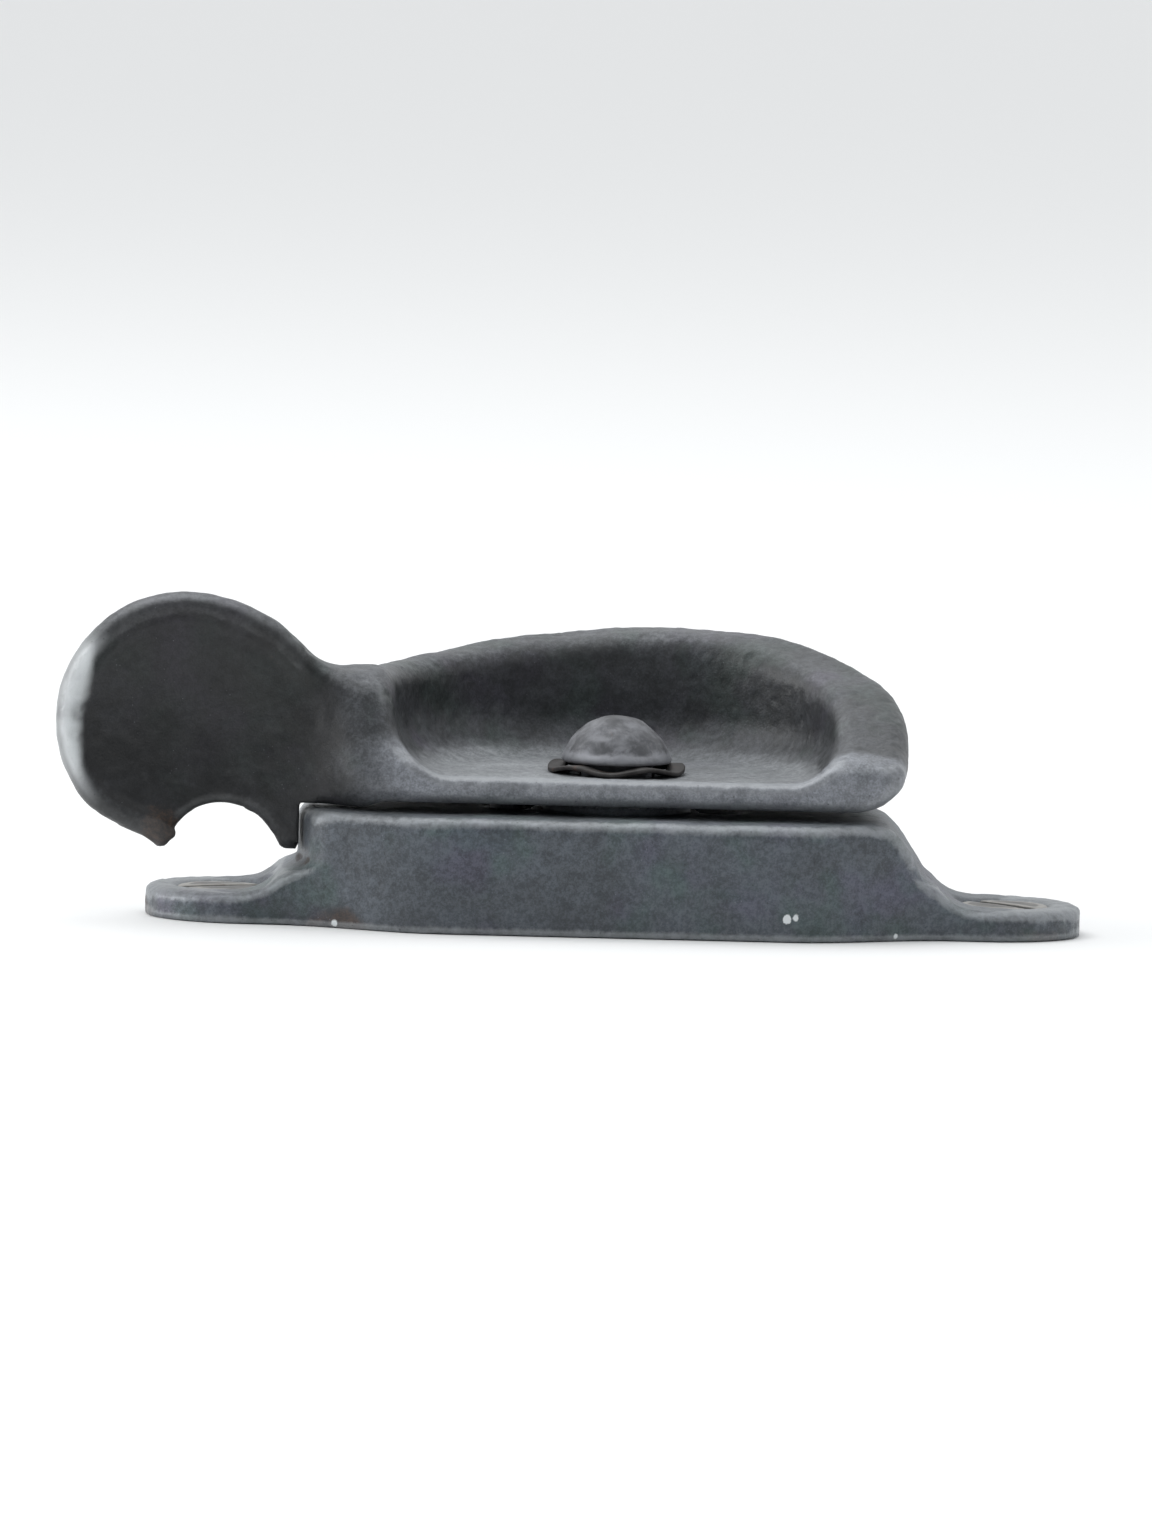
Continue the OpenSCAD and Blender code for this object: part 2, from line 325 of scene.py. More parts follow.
def base_fields(F):
    x, y, z = F.x, F.y, F.z
    # plan: the drawn-in outline with a round ear at each end
    ear_cx = 35 - 7.4
    xs = np.linspace(-ear_cx, ear_cx, 70)
    a = np.linspace(math.pi / 2, -math.pi / 2, 22)[1:-1]
    up = list(zip(xs, half_depth(xs)))
    right = [(ear_cx + 7.4 * math.cos(t), 7.4 * math.sin(t)) for t in a]
    outline = up + right + [(px, -py) for px, py in up[::-1]] + [(-px, py) for px, py in right[::-1]]
    plan = poly_sdf(x[:, :, 0], y[:, :, 0], outline)[:, :, None]
    # end view along the length, with soft inside corners at the ears
    right = chaikin([(35, 2.2), (27.8, 2.2), (26.2, 2.3), (25.1, 2.7), (24.1, 3.45), (23.1, 4.75), (22.0, 6.25), (20.9, 7.7), (19.7, BASE_H), (16, BASE_H)], 2)
    left = chaikin([(-17, BASE_H), (-22.4, BASE_H), (-23.5, BASE_H), (-24.1, 8.1), (-24.3, 6.2), (-24.3, 4.9), (-24.8, 3.5), (-26.2, 2.45), (-28.2, 2.2), (-35, 2.2)], 2)
    prof = poly_sdf(x[:, 0, :], z[:, 0, :], [(-35, -3), (35, -3)] + list(map(tuple, right)) + list(map(tuple, left)))[:, None, :]
    body = rint(plan + 0.028 * z, prof, 0.9)
    # the housing's ends are round above the ears, so that the lever's leg swings past
    r = np.sqrt(x ** 2 + y ** 2)
    body = rint(body, (r - SWEEP_R - 1.3 * np.maximum(SWEEP_Z - z, 0) ** 2.2) * 0.8, 0.8)
    outer = body.copy()
    # hollow underside, with the pivot boss and the spring's post
    cav = rint(plan + 2.4, np.maximum(np.maximum(-21.3 - x, x - 17.8), z - 6.1), 0.7)
    cav = smax(cav, -(rint(r - 6.0, 4.9 - z, 0.25)), 0.8)
    post = np.sqrt((x - 14) ** 2 + y ** 2) - 1.9
    cav = smax(cav, -np.maximum(post, 2.1 - z), 0.5)
    body = smax(body, -cav, 0.5)
    body = np.maximum(body, -z)
    # thrust face round the bore
    body = np.minimum(body, np.maximum(r - 5.55, np.maximum(z - (FLOOR_Z - 0.06), 7.4 - z)))
    body = np.maximum(body, -(r - 2.56))
    # half-round groove for the stop
    ring = np.where(y >= 0, np.abs(r - 8), np.minimum(np.sqrt((x - 8) ** 2 + y ** 2), np.sqrt((x + 8) ** 2 + y ** 2))) - 1.6
    body = smax(body, -np.maximum(ring, BASE_H - 1 - z), 0.3)
    # countersunk screw holes
    for s in (-1, 1):
        q = np.sqrt((x - s * SCREW_X) ** 2 + y ** 2)
        cone = (q - 3.65 + np.maximum(EAR_H - z, 0) * 0.869) * 0.755
        body = smax(body, -np.minimum(q - 2.0, cone), 0.35)
    return body, outer


def build_base():
    F = Field((-35.9, -12.3, -0.75), (35.9, 12.3, 9.9), 0.25)
    f, outer = base_fields(F)
    v, q = largest_part(*surface_net(F, f))
    edge, hollow, occ, n = surface_masks(F, f, v)
    x, y, z = v.T
    inside = F.sample(outer, v) < -0.6        # bores, cavity and groove keep their true size
    rough = np.where(inside, 0.0, 1.0) * smoothstep(0.15, 1.0, z) * (1 - smoothstep(8.85, 8.95, z))
    rough *= 1 - smoothstep(0.8, 0.0, np.abs(np.hypot(np.abs(x) - SCREW_X, y) - 3.0) - 0.6) * 0.7
    bump = 0.07 * fbm(v, 3.2, 11, 3) + 0.045 * fbm(v, 0.7, 12, 2)
    # a few shallow pits left in the casting skin
    pit = np.clip(vnoise(v, 1.1, 41) - 0.62, 0, 1) * 0.22
    v = v + n * ((bump - pit) * rough)[:, None]
    v[:, 2] = np.maximum(v[:, 2], 0.0)
    masks = {"edge": edge * np.where(inside, 0.3, 1.0), "hollow": hollow, "occ": occ,
             "inner": inside.astype(float)}
    rust = smoothstep(0.35, 0.75, fbm(v, 5, 91, 3) * 0.6 + 0.55 * smoothstep(3.2, 0.2, z) * (np.abs(x) > 15) + 0.5 * hollow)
    masks["rust"] = rust
    # an even layer of dust, and painted light from above, over the whole base
    masks["dust_and_top_light"] = np.full(len(v), 0.9)
    return make_mesh("base_body", v, q, masks)


# ---------------------------------------------------------------- the lever
RIGHT_TOP = ([-12, -10, -8, -4, 0, 5.4, 10.7, 14.7, 16.3, 21], [11.8, 12.2, 12.7, 14.2, 15.9, 17.6, 18.9, 20.1, 20.5, WALL_TOP])
LEFT_TOP = ([-12, -10, -8, -6, -4.5, -3, -1.5, 5, 10, 14.7, 17, 19.7, 21], [12.0, 12.2, 12.7, 14.3, 16.7, 18.0, 18.3, 18.3, 18.5, 19.1, 19.7, 20.4, WALL_TOP - 0.2])


def crest(y, table):
    """Height of the wall's crest at y, with the table's corners eased."""
    s = np.linspace(-0.9, 0.9, 7)
    return sum(np.interp(y + d, *table) for d in s) / len(s)


def lever_fields(F):
    x, y, z = F.x, F.y, F.z
    yc = np.maximum(y, 0)
    r = np.sqrt(x ** 2 + y ** 2)
    d_out = np.sqrt((x - OUT_CX) ** 2 + yc ** 2) - OUT_R
    d_in = np.sqrt((x - POC_CX) ** 2 + yc ** 2) - POC_R
    zr, zl = crest(y, RIGHT_TOP), crest(y, LEFT_TOP)
    w = smoothstep(-5, 5, x)
    top = zl * (1 - w) + zr * w
    slope = np.gradient(top, F.h, axis=1)
    dz = (z - top) / np.sqrt(1 + slope ** 2)
    # a bowl with a round underside, tighter where the neck leaves it, and a rounded crest
    bowl = np.interp(x, [-20, -6], [1.7, 4.2])
    block = rint(d_out, FLOOR_Z - z, bowl)
    block = rint(block, dz, 1.7)
    block = rint(block, -(y + FRONT), np.interp(x, [-18, -14], [2.2, 1.0]))
    # pocket for the keeper's lip, with a deep fillet between floor and wall
    fillet = np.interp(x, [-15, -6, 15], [4.6, 3.4, 3.4])
    pocket = rint(d_in, FLOOR_TOP - z, fillet)
    # handle, drawn in the plane of the disc
    X, Z = x[:, 0, :], z[:, 0, :]
    disc = np.sqrt((X - DISC_X) ** 2 + (Z - DISC_Z) ** 2) - DISC_R
    disc = smax(disc, (X + 33.4) * -0.3333 + (Z - LEG_Z) * -0.9428, 1.5)
    neck = poly_sdf(X, Z, [(-15.5, FLOOR_Z), (-17.2, FLOOR_Z), (-18.6, NECK_Z), (-21.8, NECK_Z), (-21.8, LEG_Z), (-33.2, LEG_Z), (-33.6, 12),
                           (-28.6, 22.2), (-25.6, 21.6), (-24.0, 20.5), (-22.6, 19.4), (-21.0, 18.4), (-19.5, 17.7), (-17.5, 17.3), (-15.5, 17.2)])
    full = np.maximum(smin(disc, neck, 2.0), LEG_Z - Z)
    notch = np.sqrt((X + 29.2) ** 2 + (Z - 4.5) ** 2) - 4.1
    spur = poly_sdf(X, Z, [(-29.2, 3), (-29.2, 7.6), (-27.6, 8.0), (-26.3, 7.3), (-25.3, 6.2), (-24.55, 5.0), (-24.55, 3)])
    notch = smin(notch, spur, 0.6)
    shape = smax(full, -notch, 0.35)[:, None, :]
    thick = DISC_T / 2 + 0.9 * smoothstep(-25, -19, x)
    handle = rint(shape, np.abs(y - DISC_Y) - thick + 0.1, 1.0)
    # dished finger face
    R, depth = 26.0, 1.05
    dish = np.sqrt((x - DISC_X) ** 2 + (y - (DISC_Y - DISC_T / 2 - R + depth)) ** 2 + (z - DISC_Z) ** 2) - R
    handle = smax(handle, -dish, 0.5)
    # slim raised bead round the disc, dying out along the neck
    m = np.maximum(smoothstep(-30.0, -34.0, X), smoothstep(11.5, 15.5, Z))[:, None, :] * smoothstep(-18.5, -24.0, x)
    bead = np.sqrt((full + 0.95)[:, None, :] ** 2 + (y - (DISC_Y - DISC_T / 2 + 0.45)) ** 2) - 0.9 * m + (1 - m) * 1.5
    handle = smin(handle, bead, 0.6)
    handle = smax(handle, x + 17.4, 2.6)
    # the handle flows into the wall; inside the sweep of the leg nothing hangs below the neck
    body = smin(block, handle, 4.2)
    level = np.interp(x, [-18.6, -17.2], [NECK_Z, FLOOR_Z])
    body = np.maximum(body, np.minimum(LEG_R + 0.03 - r, level - z))
    body = np.maximum(body, -(y + FRONT))
    soft = 0.5 + 0.95 * smoothstep(12.0, 14.0, z)
    body = rint(body, -pocket, soft)
    # stop under the floor
    body = np.minimum(body, np.maximum(np.sqrt((x + 8) ** 2 + y ** 2) - 1.3, np.maximum(z - 9.8, BASE_H - 0.8 - z)))
    # square hole for the rivet
    return np.maximum(body, -np.maximum(np.maximum(np.abs(x), np.abs(y)) - 2.68, 7 - z))


def build_lever():
    F = Field((-42.3, -9.0, 4.4), (22.0, 21.7, 25.3), 0.23)
    f = lever_fields(F)
    v, q = largest_part(*surface_net(F, f))
    edge, hollow, occ, n = surface_masks(F, f, v)
    x, y, z = v.T
    rough = smoothstep(2.9, 3.2, np.maximum(np.abs(x), np.abs(y)))
    under = (n[:, 2] < -0.9) & (z < FLOOR_Z + 0.3)
    rough = np.where(under | (z < 9.1) & (x > -20), 0.0, rough)
    rough *= np.where(np.abs(np.hypot(x, y) - LEG_R) < 0.3, np.where(z < FLOOR_Z, 0.0, 1.0), 1.0)
    bump = 0.08 * fbm(v, 3.4, 21, 3) + 0.05 * fbm(v, 0.7, 22, 2)
    pit = np.clip(vnoise(v, 1.0, 43) - 0.6, 0, 1) * 0.25
    v = v + n * ((bump - pit) * rough)[:, None]
    # darkening mask: a darker tone on the finger disc and neck and a little at the right end; painted shade on the
    # pocket's inner wall, and less on up-facing faces as painted light from above
    disc = smoothstep(-18.6, -21.6, x + 0.6 * vnoise(v, 2.0, 61))
    in_pocket = smoothstep(0.9, 0.2, np.hypot(x - POC_CX, np.maximum(y, 0)) - POC_R) * (z > FLOOR_TOP - 0.6)
    disc = np.maximum(disc, 0.16 * smoothstep(14.5, 17.5, x))
    disc = np.maximum(disc, 0.42 * in_pocket * smoothstep(0.85, 0.45, n[:, 2]) * smoothstep(12.6, 14.5, z))
    disc *= 1 - 0.7 * smoothstep(0.3, 0.8, n[:, 2]) * smoothstep(17.0, 18.5, z)
    tip = smoothstep(2.8, 0.6, np.hypot(x + 33.6, z - 6.7))
    edge = edge * (1 - 0.85 * smoothstep(-17.0, -18.5, x) * smoothstep(-26, -22, x) * smoothstep(16.5, 15, z))
    masks = {"edge": edge, "hollow": hollow, "occ": occ, "disc": disc}
    masks["rust"] = np.clip(tip * 0.8 + 0.4 * smoothstep(0.35, 0.8, fbm(v, 4, 93, 3) + 0.4 * hollow), 0, 1)
    # the disc's outer rim is rubbed bright and a white streak runs along it; both are partly a painted highlight where
    # the rim catches the light
    rho = np.hypot(x - DISC_X, z - DISC_Z)
    ang = np.degrees(np.arctan2(z - DISC_Z, -(x - DISC_X)))
    along = smoothstep(-36, -18, ang) * smoothstep(46, 34, ang)
    flake = fbm(v, 1.5, 79, 3)
    band = -39.7 + np.where(z > DISC_Z, 0.15, 0.0) * np.abs(z - DISC_Z) - x + 0.2 * flake
    streak = smoothstep(-0.4, 0.4, band) * smoothstep(-0.8, -0.1, flake) * along * (y < -2.6)
    masks["paint_and_highlight"] = streak * (0.78 - 0.6 * smoothstep(8.7, 9.3, rho))
    # front faces of the lip and of the wall's two ends are painted paler, as painted light for the light these faces
    # catch
    masks["pale"] = smoothstep(15.2, 13.0, z) * smoothstep(-5.2, -6.4, y + 0.5 * vnoise(v, 2.0, 83)) * smoothstep(-19.8, -14.8, x)
    # dust, with painted light and sheen, lies thickest on the pocket's floor, towards the neck
    floor = smoothstep(14.2, 11.6, z) * smoothstep(16.5, 14.5, np.hypot(x - POC_CX, np.maximum(y, 0))) * (z > FLOOR_TOP - 0.6)
    streaks = smoothstep(0.1, 0.6, vnoise(v * np.array([0.3, 1.0, 1.0]), 0.9, 68)) * smoothstep(-1, -5, x) * smoothstep(3, 7, y)
    masks["dust_and_top_light"] = 0.55 - 0.3 * smoothstep(12, 17, x) + floor * (1.6 + 0.9 * smoothstep(4, -8, x) + 0.7 * fbm(v, 4.5, 67, 3) + 0.8 * streaks)
    # the rim's rubbed band, partly real wear and partly a painted highlight
    masks["rubbed_and_highlight"] = smoothstep(7.9, 8.7, rho + 0.15 * flake) * (1 - 0.5 * smoothstep(8.9, 9.4, rho)) * smoothstep(-52, -22, ang) * smoothstep(54, 30, ang) * (x < -30)
    return make_mesh("lever_body", v, q, masks)


# ---------------------------------------------------------------- rivet, washer and screws
def build_rivet():
    F = Field((-5.4, -5.4, 0.6), (5.4, 5.4, 16.0), 0.14)
    x, y, z = F.x, F.y, F.z
    r = np.sqrt(x ** 2 + y ** 2)
    R = (DOME_R ** 2 + DOME_H ** 2) / (2 * DOME_H)
    cz = HEAD_Z + DOME_H - R
    dome = np.sqrt(x ** 2 + y ** 2 + (z - cz) ** 2) - R
    dome = smax(dome, HEAD_Z - z, 0.5)
    sq = np.maximum(np.maximum(np.abs(x), np.abs(y)) - 2.6, np.maximum(z - HEAD_Z - 0.3, FLOOR_Z + 0.05 - z))
    shank = np.maximum(r - 2.5, np.maximum(z - FLOOR_Z - 0.1, 4.85 - z))
    tail = np.maximum(np.maximum(np.abs(x), np.abs(y)) - 1.75, np.maximum(z - 5.0, 1.4 - z))
    end = rint(r - 3.2, np.abs(z - 1.45) - 0.35, 0.25)
    f = smin(np.minimum(np.minimum(dome, sq), shank), np.minimum(tail, end), 0.05)
    v, q = largest_part(*surface_net(F, f))
    edge, hollow, occ, n = surface_masks(F, f, v)
    up = smoothstep(HEAD_Z + 0.2, HEAD_Z + 0.9, v[:, 2])
    # the head was formed by hammering: facets that overlap, and a slightly uneven rim
    hit = np.zeros(len(v))
    rng = np.random.default_rng(5)
    for _ in range(26):
        a, e = rng.uniform(0, 2 * math.pi), math.acos(1 - rng.uniform(0, 0.62))
        c = np.array([math.sin(e) * math.cos(a), math.sin(e) * math.sin(a), math.cos(e)]) * R
        c[2] += cz
        dd = np.linalg.norm(v - c, axis=1)
        hit = np.maximum(hit, np.clip(1 - (dd / rng.uniform(0.9, 1.5)) ** 2, 0, 1) * rng.uniform(0.07, 0.16))
    lump = 0.07 * fbm(v, 1.6, 31, 3)
    v = v + n * ((lump - hit) * up)[:, None]
    return make_mesh("rivet_body", v, q, {"edge": edge, "hollow": hollow, "occ": occ})


def build_wave_washer():
    """A thin spring washer with four waves, trapped under the rivet's head."""
    na, prof = 144, []
    ri, ro, t = 3.75, 5.1, 0.3
    section = [(ri, -t / 2), (ri, t / 2), (ri + 0.1, t / 2 + 0.03), (ro - 0.1, t / 2 + 0.03), (ro, t / 2 - 0.06), (ro, -t / 2 + 0.06), (ro - 0.1, -t / 2 - 0.0)]
    m = len(section)
    v, q = [], []
    for i in range(na):
        a = 2 * math.pi * i / na
        wave = 0.2 * math.sin(5 * a + 0.6)
        for rr, dz in section:
            v.append((rr * math.cos(a), rr * math.sin(a), FLOOR_TOP + 0.4 + wave + dz))
        for j in range(m):
            k = (j + 1) % m
            ii = (i + 1) % na
            q.append((i * m + j, ii * m + j, ii * m + k, i * m + k))
    o = make_mesh("wave_washer_body", np.array(v), np.array(q), {})
    return o


def build_screw(name, sx, turn):
    """A slotted, countersunk wood screw, with its thread cut round a tapering core."""
    F = Field((-3.8, -3.8, -17.3), (3.8, 3.8, 2.6), 0.14)
    x, y, z = F.x, F.y, F.z
    r = np.sqrt(x ** 2 + y ** 2)
    top = EAR_H - 0.05
    head = np.maximum(r - 3.4, (r - 1.8 - (z - 0.11) * 0.869) * 0.755)
    head = smax(head, z - top - 0.0 + r * r * 0.004, 0.35)
    head = np.maximum(head, 0.0 - z - 0.4)
    neck = np.maximum(r - 1.78, np.maximum(z - 0.6, -6.2 - z))
    a = np.arctan2(y, x)
    pitch = 1.35
    saw = np.mod(z / pitch - a / (2 * math.pi), 1.0)
    tooth = 1 - np.abs(saw - 0.5) * 2
    crest = np.interp(z.ravel(), [-16.85, -15.2, -13.2, -6.6, -5.6], [0.2, 0.95, 1.72, 1.74, 1.3]).reshape(z.shape)
    core = np.interp(z.ravel(), [-16.85, -15.6, -14.0, -6.0], [0.08, 0.6, 1.12, 1.3]).reshape(z.shape)
    rad = core + (crest - core) * smoothstep(0.35, 0.95, tooth)
    thread = np.maximum((r - rad) * 0.7, np.maximum(z + 5.6, -16.8 - z))
    f = np.minimum(np.minimum(head, neck), thread)
    ca, sa = math.cos(turn), math.sin(turn)
    across = np.abs(-x * sa + y * ca)
    slot = np.maximum(across - 0.5, top - 0.95 - z)
    f = smax(f, -slot, 0.15)
    v, q = largest_part(*surface_net(F, f))
    edge, hollow, occ, n = surface_masks(F, f, v)
    v = v + n * (0.02 * fbm(v, 0.8, 51, 2) * smoothstep(1.4, 2.0, v[:, 2]))[:, None]
    v[:, 2] = np.maximum(v[:, 2], -16.84)
    v[:, 0] += sx
    return make_mesh(name, v, q, {"edge": edge, "hollow": hollow, "occ": occ})


# ---------------------------------------------------------------- materials
class Nodes:
    def __init__(self, name):
        self.m = bpy.data.materials.new(name)
        self.m.use_nodes = True
        self.t = self.m.node_tree
        self.t.nodes.clear()
        self.out = self.t.nodes.new("ShaderNodeOutputMaterial")
        self.bsdf = self.t.nodes.new("ShaderNodeBsdfPrincipled")
        self.t.links.new(self.bsdf.outputs[0], self.out.inputs[0])
        tc = self.t.nodes.new("ShaderNodeTexCoord")
        mp = self.t.nodes.new("ShaderNodeMapping")
        mp.inputs["Scale"].default_value = (1000, 1000, 1000)
        self.t.links.new(tc.outputs["Object"], mp.inputs["Vector"])
        self.co = mp.outputs["Vector"]

    def put(self, sock, val):
        if isinstance(val, bpy.types.NodeSocket):
            self.t.links.new(val, sock)
        else:
            sock.default_value = val

    def noise(self, size, detail=4.0, rough=0.55, dist=0.0, co=None):
        n = self.t.nodes.new("ShaderNodeTexNoise")
        n.inputs["Scale"].default_value = 1.0 / size
        n.inputs["Detail"].default_value = detail
        n.inputs["Roughness"].default_value = rough
        n.inputs["Distortion"].default_value = dist
        self.t.links.new(co or self.co, n.inputs["Vector"])
        return n.outputs["Fac"]

    def voronoi(self, size, feature="F1", rand=1.0):
        n = self.t.nodes.new("ShaderNodeTexVoronoi")
        n.feature = feature
        n.inputs["Scale"].default_value = 1.0 / size
        n.inputs["Randomness"].default_value = rand
        self.t.links.new(self.co, n.inputs["Vector"])
        return n.outputs["Distance"]

    def attr(self, name):
        n = self.t.nodes.new("ShaderNodeAttribute")
        n.attribute_name = name
        return n.outputs["Fac"]

    def math(self, op, a, b=0.0, clamp=False):
        n = self.t.nodes.new("ShaderNodeMath")
        n.operation = op
        n.use_clamp = clamp
        self.put(n.inputs[0], a)
        self.put(n.inputs[1], b)
        return n.outputs[0]

    def ramp(self, v, lo, hi, out_lo=0.0, out_hi=1.0):
        n = self.t.nodes.new("ShaderNodeMapRange")
        n.interpolation_type = "SMOOTHSTEP"
        self.put(n.inputs["Value"], v)
        n.inputs["From Min"].default_value = lo
        n.inputs["From Max"].default_value = hi
        n.inputs["To Min"].default_value = out_lo
        n.inputs["To Max"].default_value = out_hi
        return n.outputs["Result"]

    def mix(self, fac, a, b):
        n = self.t.nodes.new("ShaderNodeMix")
        n.data_type = "RGBA"
        self.put(n.inputs[0], fac)
        self.put(n.inputs[6], a if isinstance(a, bpy.types.NodeSocket) else (*a, 1.0))
        self.put(n.inputs[7], b if isinstance(b, bpy.types.NodeSocket) else (*b, 1.0))
        return n.outputs[2]

    def tint(self, fac, col, by):
        n = self.t.nodes.new("ShaderNodeMix")
        n.data_type = "RGBA"
        n.blend_type = "MULTIPLY"
        self.put(n.inputs[0], fac)
        self.put(n.inputs[6], col)
        self.put(n.inputs[7], (*by, 1.0))
        return n.outputs[2]

    def scale(self, col, by):
        n = self.t.nodes.new("ShaderNodeVectorMath")
        n.operation = "SCALE"
        self.put(n.inputs[0], col)
        self.put(n.inputs["Scale"], by)
        return n.outputs[0]

    def fleck(self, at, size, ragged):
        """A small splash of paint at a point, in mm."""
        n = self.t.nodes.new("ShaderNodeVectorMath")
        n.operation = "DISTANCE"
        self.t.links.new(self.co, n.inputs[0])
        n.inputs[1].default_value = at
        d = self.math("ADD", n.outputs["Value"], self.math("MULTIPLY", self.math("SUBTRACT", ragged, 0.5), 1.6 * size))
        return self.ramp(d, size + 0.06, size - 0.06)

    def up(self):
        g = self.t.nodes.new("ShaderNodeNewGeometry")
        s = self.t.nodes.new("ShaderNodeSeparateXYZ")
        self.t.links.new(g.outputs["Normal"], s.inputs[0])
        return s.outputs["Z"]

    def bump(self, height, strength, distance, prev=None):
        n = self.t.nodes.new("ShaderNodeBump")
        n.inputs["Strength"].default_value = strength
        n.inputs["Distance"].default_value = distance * MM
        self.put(n.inputs["Height"], height)
        if prev is not None:
            self.t.links.new(prev, n.inputs["Normal"])
        return n.outputs["Normal"]


def srgb(r, g, b):
    return tuple(((c / 255) / 12.92 if c / 255 <= 0.04045 else ((c / 255 + 0.055) / 1.055) ** 2.4) for c in (r, g, b))


def cast_metal(name, dark, light, dust_and_top_light, metal, rust=(0.075, 0.040, 0.022), dust_and_top_light_amount=1.0, metallic=0.2, wear_amount=0.6, flecks=()):
    k = Nodes(name)
    edge, hollow, occ, dark_tone_and_shade, rubbed_and_highlight = (k.attr(a) for a in ("edge", "hollow", "occ", "disc", "rubbed_and_highlight"))
    big, mid, fine, grain = k.noise(9, 3), k.noise(2.2, 7, 0.66, 0.5), k.noise(0.5, 6, 0.7), k.noise(0.16, 4, 0.7)
    skin = k.math("ADD", k.math("MULTIPLY", big, 0.45), k.math("ADD", k.math("MULTIPLY", mid, 0.35), k.math("MULTIPLY", fine, 0.2)))
    col = k.mix(k.ramp(skin, 0.40, 0.60), dark, light)
    # slight drifts of hue in the oxide, green one way and violet the other
    col = k.tint(k.ramp(k.noise(5.5, 3), 0.50, 0.66), col, (0.86, 1.02, 0.90))
    col = k.tint(k.ramp(k.noise(7.0, 3, 0.5, 0.3), 0.52, 0.68), col, (1.02, 0.92, 1.06))
    # the lip's front faces and the wall's ends made paler, as painted light for the light these faces catch
    col = k.mix(k.math("MULTIPLY", k.attr("pale"), k.ramp(mid, 0.35, 0.6, 0.6, 0.95)), col, tuple(min(1, c * 3.7) for c in light))
    # the finger disc and neck darker; the same mask paints shade on the pocket's inner wall and spares up-facing faces
    # as painted light
    smudge = k.ramp(k.math("ADD", k.math("MULTIPLY", k.noise(3.4, 5, 0.6, 0.6), 0.7), k.math("MULTIPLY", mid, 0.3)), 0.36, 0.64, 0.72, 1.3)
    col = k.mix(dark_tone_and_shade, col, k.scale(k.tint(1.0, col, (0.205, 0.205, 0.21)), smudge))
    # the grain of the sand mould, dark in its pores
    pores = k.ramp(k.math("ADD", k.math("MULTIPLY", fine, 0.5), k.math("MULTIPLY", grain, 0.5)), 0.43, 0.58, 0.74, 1.14)
    col = k.scale(col, pores)
    # soot held in the concave creases, and painted shade where the occlusion mask finds the surface closed in
    col = k.mix(k.math("MULTIPLY", k.ramp(k.math("ADD", hollow, occ), 0.35, 1.3), 0.3), col, tuple(c * 0.5 for c in dark))
    # rust, in patches with soft mottled borders, orange where fresh and brown where old
    blot = k.math("ADD", k.math("MULTIPLY", mid, 0.9), k.math("ADD", k.math("MULTIPLY", fine, 0.8), k.math("MULTIPLY", grain, 0.5)))
    rmask = k.ramp(k.math("ADD", k.attr("rust"), k.math("SUBTRACT", blot, 1.1)), 0.40, 1.05)
    rcol = k.mix(k.ramp(k.math("ADD", k.math("MULTIPLY", fine, 0.6), k.math("MULTIPLY", grain, 0.4)), 0.38, 0.62), tuple(c * 0.35 for c in rust), rust)
    col = k.mix(k.math("MULTIPLY", rmask, 0.7), col, rcol)
    # a thin film of fine dust on what faces up, broken by the grain of the casting; the lightening of up-facing faces
    # is also painted light from above
    d = k.math("ADD", k.math("MULTIPLY", fine, 0.55), k.math("MULTIPLY", grain, 0.45))
    d = k.math("MULTIPLY", k.ramp(k.up(), 0.55, 1.0), k.ramp(d, 0.38, 0.66, 0.40, 0.86))
    d = k.math("MULTIPLY", d, k.math("MULTIPLY", k.attr("dust_and_top_light"), dust_and_top_light_amount), clamp=True)
    col = k.mix(d, col, dust_and_top_light)
    # handling has brightened the edges; on the disc's rim the rubbed band is also a painted highlight
    wear = k.ramp(k.math("ADD", edge, k.math("MULTIPLY", k.math("SUBTRACT", k.math("ADD", k.math("MULTIPLY", mid, 0.6), k.math("MULTIPLY", fine, 0.4)), 0.5), 1.5)), 0.5, 1.15)
    wear = k.math("MULTIPLY", wear, k.math("SUBTRACT", 1.0, k.math("MULTIPLY", dark_tone_and_shade, 0.75)))
    wear = k.math("MAXIMUM", k.math("MULTIPLY", wear, wear_amount), k.math("MULTIPLY", rubbed_and_highlight, 0.85))
    col = k.mix(wear, col, k.mix(rubbed_and_highlight, metal, k.mix(k.ramp(skin, 0.38, 0.62), tuple(c * 1.1 for c in metal), tuple(min(1, c * 1.6) for c in metal))))
    # fine pale and dark specks in the skin
    spk = k.ramp(k.voronoi(0.5), 0.12, 0.02)
    col = k.mix(k.math("MULTIPLY", k.math("MULTIPLY", spk, k.ramp(k.noise(3.5, 2), 0.48, 0.6)), 0.35), col, tuple(min(1, c * 3.0) for c in light))
    spd = k.ramp(k.voronoi(0.75), 0.14, 0.03)
    col = k.mix(k.math("MULTIPLY", spd, 0.4), col, tuple(c * 0.3 for c in dark))
    # white for the real flecks of paint on the base, and along the disc's rim as a painted highlight
    paint_and_highlight = k.attr("paint_and_highlight")
    for at, size in flecks:
        paint_and_highlight = k.math("MAXIMUM", paint_and_highlight, k.fleck(at, size, k.noise(0.45, 3)))
    col = k.mix(paint_and_highlight, col, (0.72, 0.75, 0.76))
    k.put(k.bsdf.inputs["Base Color"], col)
